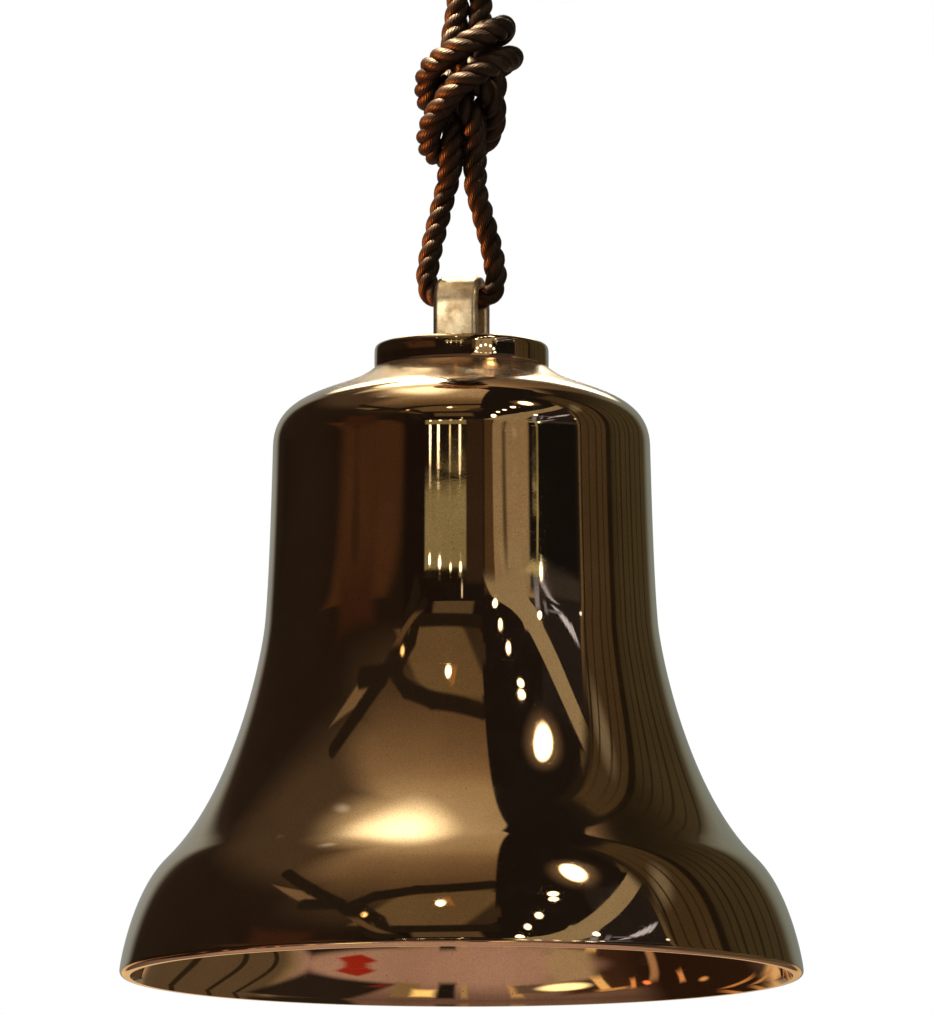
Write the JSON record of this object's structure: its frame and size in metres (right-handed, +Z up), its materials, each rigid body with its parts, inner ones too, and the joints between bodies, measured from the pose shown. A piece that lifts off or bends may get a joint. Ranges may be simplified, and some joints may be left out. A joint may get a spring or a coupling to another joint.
{
  "type": "ship bell",
  "caption": "Hanging bronze ship bell on a knotted three-strand rope, with a crown loop, an inner clapper and a round ceiling fitting.",
  "frame": {"origin": "centre of the ceiling plate's screw circle, in the face that meets the ceiling; the bell hangs below it", "axes": "+Z up along the bell's axis, X along the rope's passage through the crown loop"},
  "size_m": [0.3, 0.3, 0.536],
  "materials": {
    "polished_bronze": "mirror-polished bronze",
    "satin_bronze": "satin bronze, mottled by handling",
    "clapper_bronze": "turned bronze, dull",
    "brass_fitting": "turned brass, lightly tarnished",
    "steel": "plain turned steel",
    "leather_washer": "oiled leather washer",
    "rope": "three-strand laid cord, dark brown, silky"
  },
  "bodies": {
    "ceiling_mount": {"ceiling_plate": "brass_fitting", "hanger_fork": "brass_fitting", "hanger_washer": "steel", "hanger_nut": "steel", "hanger_pin": "steel", "hanger_pin_washer": "steel", "hanger_split_pin": "steel"},
    "rope_sling": {"rope_socket": "brass_fitting", "socket_screws": "steel", "rope": "rope"},
    "bell": {"crown_loop": "satin_bronze", "crown_disc": "polished_bronze", "crown_gasket": "leather_washer", "bell_shell": "polished_bronze", "crown_stud": "steel", "inner_gasket": "leather_washer", "inner_washer": "brass_fitting", "crown_nut": "brass_fitting", "lock_nut": "brass_fitting", "clapper_fork": "brass_fitting", "clapper_pin": "steel", "clapper_pin_washer": "steel", "clapper_split_pin": "steel"},
    "clapper": {"clapper_bush": "brass_fitting", "clapper_rod": "clapper_bronze", "clapper_ball": "clapper_bronze", "tail_eye": "clapper_bronze"}
  },
  "joints": [
    {"name": "rope_swing", "type": "hinge", "parent": "ceiling_mount", "child": "rope_sling", "pos_m": [0, 0, -0.04], "axis": [0, 1, 0], "range_deg": [-30, 30]},
    {"name": "bell_swing", "type": "hinge", "parent": "rope_sling", "child": "bell", "pos_m": [0, 0, -0.2355], "axis": [1, 0, 0], "range_deg": [-35, 35]},
    {"name": "clapper_swing", "type": "hinge", "parent": "bell", "child": "clapper", "pos_m": [0, 0, -0.32], "axis": [1, 0, 0], "range_deg": [-29, 29]}
  ]
}
